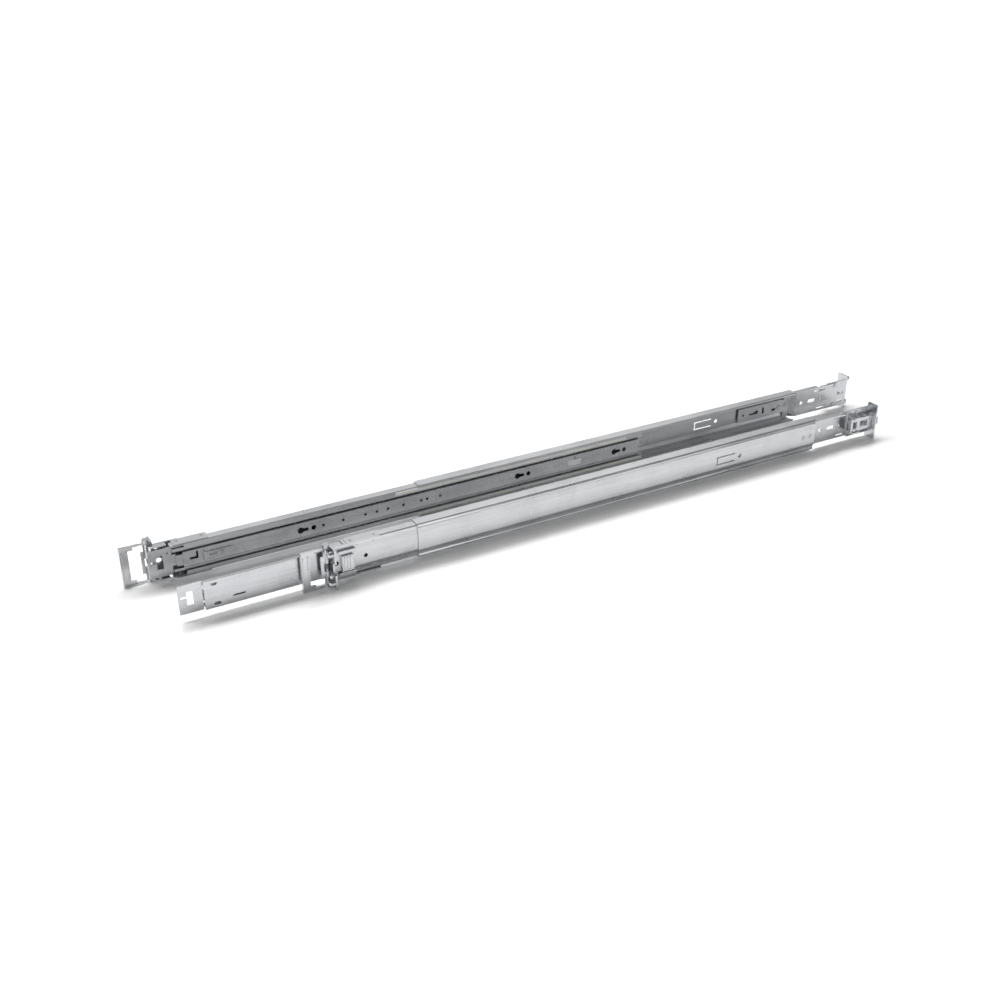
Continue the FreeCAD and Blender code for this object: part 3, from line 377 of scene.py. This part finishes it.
def torsion_spring(side, label, pin, body, legs):
    """Close-wound spring round an upright pin, with legs that run out to where they push."""
    node = "%s_%s" % (side, label)
    low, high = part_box("%s_%s" % (side, pin))
    middle = (low + high) / 2
    rise = Vector((0, 0, TORSION_HALF))
    points = helix(middle - rise, middle + rise, TORSION_COIL, TORSION_TURNS)
    for x, y, from_lower_end in legs:
        anchor = points[0] if from_lower_end else points[-1]
        tip = Vector((middle.x + x * MM, middle.y + RAILS[side] * y * MM, anchor.z))
        points.insert(0 if from_lower_end else len(points), tip)
    coil = swept_wire(node + "_coil", points, TORSION_WIRE)
    new_piece(node + "_coil", coil, "spring_steel", body, node)


BUTTON_WIRE = 0.12 * MM      # radius of the wire
BUTTON_TURNS = 14
SEAT_GAP = 0.15 * MM         # between the button and the first turn of its spring


def button_spring(side):
    """Compression spring of the release button, which pressing the button squeezes; the coil here
    keeps one length.
    """
    node = "%s_button_spring" % side
    low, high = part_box(node)
    middle = (low + high) / 2
    start = Vector((low.x + BUTTON_WIRE + SEAT_GAP, middle.y, middle.z))
    end = Vector((high.x - BUTTON_WIRE, middle.y, middle.z))
    points = helix(start, end, (high.z - low.z) / 2 - BUTTON_WIRE, BUTTON_TURNS, steps=12)
    mesh = swept_wire(node + "_coil", points, BUTTON_WIRE, sides=6)
    coil = new_piece(node + "_coil", mesh, "spring_steel", "front_sections", node)
    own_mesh(coil)


# ---------------------------------------------------------------- ball bearings

BALL_RADIUS = 3.175 / 2 * MM
BALL_PITCH = 9 * MM               # from ball to ball, before the row is spaced evenly
POCKET = BALL_RADIUS + 0.1 * MM   # radius of the retainer's pocket for a ball
POCKET_SIDES = 24
RETAINER_SHEET = 0.6 * MM
WELD = 0.001 * MM                 # points of the retainer closer than this become one
SHORTEST_END = 0.2 * MM           # a shorter plain end of a retainer is left off


def ball_places(side, bearing):
    """Where a race's balls sit, evenly from one end ball of the CAD to the other: their X
    places, the gap between those, and the row's Y and Z."""
    low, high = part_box("%s_%s_balls" % (side, bearing))
    first, last = low.x + BALL_RADIUS, high.x - BALL_RADIUS
    count = int(round((last - first) / BALL_PITCH)) + 1
    gap = (last - first) / (count - 1)
    places = [first + gap * k for k in range(count)]
    return places, gap, (low.y + high.y) / 2, high.z - BALL_RADIUS


def ball_rows(side, bearing):
    """A full row of balls in the upper race and in the lower one."""
    node = "%s_%s_balls" % (side, bearing)
    places, gap, y, z = ball_places(side, bearing)
    shape = bmesh.new()
    for x in places:
        for height in (z, -z):
            ball = bmesh.ops.create_icosphere(shape, subdivisions=2, radius=BALL_RADIUS)
            bmesh.ops.translate(shape, verts=ball["verts"], vec=(x, y, height))
    for face in shape.faces:
        face.smooth = True
    row = as_mesh(node + "_row", shape)
    new_piece(node + "_row", row, "ball_steel", "%s_%s_bearing" % (side, bearing), node)


def retainer_strips(side, bearing):
    """The strips between the balls, with a round pocket pressed out for each ball."""
    node = "%s_%s_retainer" % (side, bearing)
    low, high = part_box(node)
    places, gap, y, z = ball_places(side, bearing)
    step = 360 / POCKET_SIDES
    shape = bmesh.new()

    def flat(corners, height):
        shape.faces.new([shape.verts.new((x, across, height)) for x, across in corners])

    for height in (z, -z):
        for x in places:
            west, east, south, north = x - gap / 2, x + gap / 2, low.y, high.y
            corners = [math.atan2(b - y, a - x) for a in (west, east) for b in (south, north)]
            angles = sorted([math.radians(step * k - 180) for k in range(POCKET_SIDES)] + corners)
            inner, outer = [], []
            for angle in angles:
                c, d = math.cos(angle), math.sin(angle)
                reach_x = gap / 2 / max(abs(c), 1e-9)
                reach_y = ((north - y) if d > 0 else (y - south)) / max(abs(d), 1e-9)
                reach = min(reach_x, reach_y)
                inner.append((x + POCKET * c, y + POCKET * d))
                outer.append((x + reach * c, y + reach * d))
            for k in range(len(angles)):
                n = (k + 1) % len(angles)
                flat((inner[k], outer[k], outer[n], inner[n]), height)
        for start, stop in ((low.x, places[0] - gap / 2), (places[-1] + gap / 2, high.x)):
            if stop - start > SHORTEST_END:
                flat(((start, low.y), (stop, low.y), (stop, high.y), (start, high.y)), height)
    bmesh.ops.remove_doubles(shape, verts=shape.verts, dist=WELD)
    bmesh.ops.recalc_face_normals(shape, faces=shape.faces)
    bmesh.ops.solidify(shape, geom=shape.faces[:], thickness=RETAINER_SHEET)
    strips = as_mesh(node + "_pierced", shape)
    new_piece(node + "_pierced", strips, "retainer_steel", "%s_%s_bearing" % (side, bearing), node)


# ---------------------------------------------------------------- pressed forms of the sheet

DIMPLE_PLACES = (14, 31)     # in mm behind the front channel's front end
DIMPLE_HEIGHT = 12.6         # in mm above and below mid height
DIMPLE_RADIUS = 1.5 * MM
DIMPLE_PROUD = 0.6 * MM


def pressed_dimples(side):
    """Half-shear dimples on the front channel's web, which hold the bracket's tabs in place."""
    front_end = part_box("%s_front_channel" % side)[0].x
    outward = Vector((0, -RAILS[side], 0))
    web = outer_side(side, "front_channel") + RAILS[side] * SHEET
    shape = bmesh.new()
    for x in DIMPLE_PLACES:
        for z in (DIMPLE_HEIGHT, -DIMPLE_HEIGHT):
            centre = Vector((front_end + x * MM, web, z * MM))
            dome(shape, centre, outward, DIMPLE_RADIUS, DIMPLE_PROUD)
    name = "%s_dimples" % side
    new_piece(name, as_mesh(name, shape), "zinc_channel", "front_sections")


# Outlines seen from above, in millimetres from the front or rear face and the outer face.
LIP = ((2.1, 1.5), (2.1, 4.2), (5.5, 7.6), (9.0, 8.6), (18.9, 8.6), (18.9, 1.5))
LIP_SPANS = above_and_below(17.5, 18.6)
RIM = ((-23.3, -2.6), (-23.3, 1.2), (-22.2, 1.2), (-22.2, -2.6))
RIM_SPANS = ((-15.8, 15.8),)
GUSSET = ((-103, 2.9), (-95, 2.9), (-88.1, 7.95), (-88.1, 9.35), (-95.3, 4.3), (-103, 4.3))
GUSSET_SPANS = above_and_below(8.6, 15.9)


def bracket_lips(side):
    """Lips that stiffen the front bracket between its flange and the tabs, above and below."""
    upright_strips(side, "bracket_lips", LIP, LIP_SPANS, "zinc_bracket", "front_sections")


def window_rim(side):
    """The turned-up edge of the securing plate's window, on the side away from the hinge."""
    upright_strips(side, "window_rim", RIM, RIM_SPANS, "zinc_plate", "%s_securing" % side)


def arm_gussets(side):
    """The rear arm's step is as high as its plate: a gusset above and one below the strap."""
    upright_strips(side, "arm_gussets", GUSSET, GUSSET_SPANS, "zinc_bracket",
                   "%s_rear_section" % side, point=rear_point, edge=0.15)


BEAD_HEIGHT = 16.5 * MM      # middle of a bead above or below mid height
BEAD_PROUD = 1.1 * MM
BEAD_HALF = 1.7 * MM         # half of its width
BEAD_BURIED = 0.1 * MM       # how far its flat back goes into the sheet
BEAD_END = 0.6 * MM          # plain sheet between a bead and the channel's end
BEAD_STEPS = 10


def stiffening_beads(side):
    """Half-round beads rolled along the rear channel's set-back bands, above and below its web."""
    low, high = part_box("%s_rear_channel" % side)
    inward = RAILS[side]
    sheet_face = outer_side(side, "rear_channel") + inward * SHEET
    back = sheet_face + inward * BEAD_BURIED
    turns = [math.pi * k / BEAD_STEPS for k in range(BEAD_STEPS + 1)]
    shape = bmesh.new()
    for middle in (BEAD_HEIGHT, -BEAD_HEIGHT):
        profile = [(sheet_face - inward * BEAD_PROUD * math.sin(turn),
                    middle + BEAD_HALF * math.cos(turn)) for turn in turns]
        profile += [(back, middle - BEAD_HALF), (back, middle + BEAD_HALF)]
        front, rear = [[shape.verts.new((x, y, z)) for y, z in profile]
                       for x in (low.x + BEAD_END, high.x - BEAD_END)]
        faces = prism(shape, front, rear)
        for face in faces[2:2 + BEAD_STEPS]:
            face.smooth = True
    name = "%s_stiffening_beads" % side
    new_piece(name, as_mesh(name, shape), "zinc_channel", "%s_rear_section" % side)


for side in RAILS:
    torsion_spring(side, "securing_spring", "hinge_pin", "front_sections", SECURING_LEGS)
    torsion_spring(side, "latch_spring", "latch_pin", "%s_latch" % side, LATCH_LEGS)
    button_spring(side)
    pressed_dimples(side)
    bracket_lips(side)
    window_rim(side)
    arm_gussets(side)
    stiffening_beads(side)
    for bearing in ("outer", "inner"):
        ball_rows(side, bearing)
        retainer_strips(side, bearing)


# ---------------------------------------------------------------- stage, light and camera

FLOOR_Z = cad_box[0][2]
TABLE_REACH = 30.0                     # half of the table's width
NEAR_GLOW = 0.06                       # the table's own light beside the rails
GLOW_STARTS, GLOW_FULL = 0.05, 0.35    # over this distance from them it grows to white
MIRRORED = 0.35                        # the share of it that mirrors show: lamps light the rest
SLIDE_REACH = 0.56                     # how far the slides run out in front

CARD_IN_FRONT = 2 * MM                 # gap between the right rear channel and the grey card of painted shade
CARD_BEHIND = 22 * MM                  # and between the card and the left rear channel
CARD_LIFT = 0.2 * MM                   # how far the card lies above the table

GREY_STARTS, GREY_FULL = 0.1, 0.6      # heights of the sky, 1 straight up, where it turns grey
SKY_ON_MATT = 0.6                      # the share of the sky's light that matt surfaces get


def level_sheet(name, low, high, height, material):
    """A flat sheet of the stage, from one X and Y to another."""
    corners = [(low[0], low[1], height), (high[0], low[1], height),
               (high[0], high[1], height), (low[0], high[1], height)]
    mesh = bpy.data.meshes.new(name)
    mesh.from_pydata(corners, [], [(0, 1, 2, 3)])
    mesh.materials.append(material)
    sheet = bpy.data.objects.new(name, mesh)
    bpy.context.collection.objects.link(sheet)
    return sheet


def white_table():
    """Glossy white table top, which shades and mirrors the rails near them and runs out into
    the white of the studio further off.  Its own light shows to the eye, and partly in gloss."""
    material, tree = new_material("white_acrylic_table")
    board = add(tree, "ShaderNodeBsdfPrincipled", {
        "Base Color": linear("#F7F7F7"), "Roughness": 0.07, "IOR": 1.9,
    })
    low, high = Vector(cad_box[0]), Vector(cad_box[1])
    low.x -= SLIDE_REACH
    away = add(tree, "ShaderNodeVectorMath", {
        0: add(tree, "ShaderNodeNewGeometry").outputs["Position"], 1: tuple((low + high) / 2),
    }, operation="SUBTRACT")
    away = add(tree, "ShaderNodeVectorMath", {0: away.outputs[0]}, operation="ABSOLUTE")
    away = add(tree, "ShaderNodeVectorMath", {
        0: away.outputs[0], 1: ((high.x - low.x) / 2, (high.y - low.y) / 2, 1.0),
    }, operation="SUBTRACT")
    away = add(tree, "ShaderNodeVectorMath", {
        0: away.outputs[0], 1: (0, 0, 0),
    }, operation="MAXIMUM")
    away = add(tree, "ShaderNodeVectorMath", {0: away.outputs[0]}, operation="LENGTH")
    glow = add(tree, "ShaderNodeMapRange", {
        "Value": away.outputs["Value"], "From Min": GLOW_STARTS, "From Max": GLOW_FULL,
        "To Min": NEAR_GLOW, "To Max": 1.0,
    }, interpolation_type="SMOOTHSTEP")
    lit = add(tree, "ShaderNodeEmission", {
        "Color": linear("#FFFFFF"), "Strength": glow.outputs[0],
    })
    rays = add(tree, "ShaderNodeLightPath")
    seen = add(tree, "ShaderNodeMath", {
        0: rays.outputs["Is Glossy Ray"], 1: rays.outputs["Is Transmission Ray"],
    }, operation="MAXIMUM")
    seen = add(tree, "ShaderNodeMath", {
        0: seen.outputs[0], 1: MIRRORED, 2: rays.outputs["Is Camera Ray"],
    }, operation="MULTIPLY_ADD")
    dark = add(tree, "ShaderNodeEmission", {"Strength": 0.0})
    lift = add(tree, "ShaderNodeMixShader", {
        0: seen.outputs[0], 1: dark.outputs[0], 2: lit.outputs[0],
    })
    whole = add(tree, "ShaderNodeAddShader", {0: board.outputs[0], 1: lift.outputs[0]})
    add(tree, "ShaderNodeOutputMaterial", {"Surface": whole.outputs[0]})
    table = level_sheet("table_top", (-TABLE_REACH, -TABLE_REACH), (TABLE_REACH, TABLE_REACH),
                        FLOOR_Z, material)


def painted_shade_card():
    """Painted shade: a glowing grey card laid between the rails, which only metal sees: it keeps
    the white table out of the left rail's hollow, so that hollow mirrors grey and looks shaded."""
    material, tree = new_material("glossy_painted_shade")
    # painted shade: grey light seen only in mirror images, standing in for the shade inside the
    # left rail
    shade_glow = add(tree, "ShaderNodeEmission", {"Color": linear("#A6A6A6"), "Strength": 1.0})
    add(tree, "ShaderNodeOutputMaterial", {"Surface": shade_glow.outputs[0]})
    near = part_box("right_rear_channel")[1].y + CARD_IN_FRONT
    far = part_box("left_rear_channel")[0].y - CARD_BEHIND
    card = level_sheet("painted_shade_card", (cad_box[0][0], near), (cad_box[1][0], far),
                       FLOOR_Z + CARD_LIFT, material)
    card.visible_camera = False
    card.visible_diffuse = False
    card.visible_shadow = False


def studio_sky():
    """Pale studio all round: white at the horizon and greyer overhead, so that metal has
    something to show."""
    world = bpy.data.worlds.new("studio_sky")
    world.use_nodes = True
    tree = world.node_tree
    tree.nodes.clear()
    up = add(tree, "ShaderNodeSeparateXYZ", {
        "Vector": add(tree, "ShaderNodeTexCoord").outputs["Generated"],
    })
    height = add(tree, "ShaderNodeMapRange", {
        "Value": up.outputs["Z"], "From Min": GREY_STARTS, "From Max": GREY_FULL,
        "To Min": 0.0, "To Max": 1.0,
    })
    shade = add(tree, "ShaderNodeMix", {
        "Factor": height.outputs[0], "A": linear("#FFFFFF"), "B": linear("#6A6A6A"),
    }, data_type="RGBA")
    rays = add(tree, "ShaderNodeLightPath")
    strength = add(tree, "ShaderNodeMapRange", {
        "Value": rays.outputs["Is Diffuse Ray"], "To Min": 1.0, "To Max": SKY_ON_MATT,
    })
    light = add(tree, "ShaderNodeBackground", {
        "Color": shade.outputs["Result"], "Strength": strength.outputs[0],
    })
    add(tree, "ShaderNodeOutputWorld", {"Surface": light.outputs[0]})
    bpy.context.scene.world = world


def softbox(name, place, aim, wide, high, watts, mirrored=True):
    """A rectangular lamp; metal doesn't show it as a mirror image unless it is mirrored."""
    lamp = bpy.data.lights.new(name, "AREA")
    lamp.shape = "RECTANGLE"
    lamp.size = wide
    lamp.size_y = high
    lamp.energy = watts
    holder = bpy.data.objects.new(name, lamp)
    holder.location = place
    holder.rotation_euler = (Vector(aim) - Vector(place)).to_track_quat("-Z", "Y").to_euler()
    holder.visible_glossy = mirrored
    bpy.context.collection.objects.link(holder)


def studio_camera():
    """A 43 mm lens on a 36 mm frame, looking down at 27 degrees across the rails."""
    camera = bpy.data.cameras.new("camera")
    camera.sensor_width = 36.0
    camera.lens = 43.2
    camera.clip_start = 0.01
    holder = bpy.data.objects.new("camera", camera)
    holder.location = (-0.2104, -1.0540, 0.5811)
    pitch_down = 26.95
    heading_from_x = 60.16
    holder.rotation_euler = Euler((math.radians(90 - pitch_down), 0,
                                   math.radians(heading_from_x - 90)))
    bpy.context.collection.objects.link(holder)
    bpy.context.scene.camera = holder


white_table()
painted_shade_card()
studio_sky()
softbox("rear_softbox", place=(0.15, 1.45, 2.65), aim=(0.15, -0.1, 0),
        wide=5.5, high=0.8, watts=142, mirrored=False)
softbox("rear_card", place=(0.15, 0.90, 1.45), aim=(0.15, -0.1, 0),
        wide=3.6, high=1.6, watts=18)
softbox("left_softbox", place=(-1.6, -0.9, 0.9), aim=(0.3, -0.05, 0),
        wide=1.2, high=0.8, watts=5)
studio_camera()
bpy.context.scene.view_settings.view_transform = "Standard"
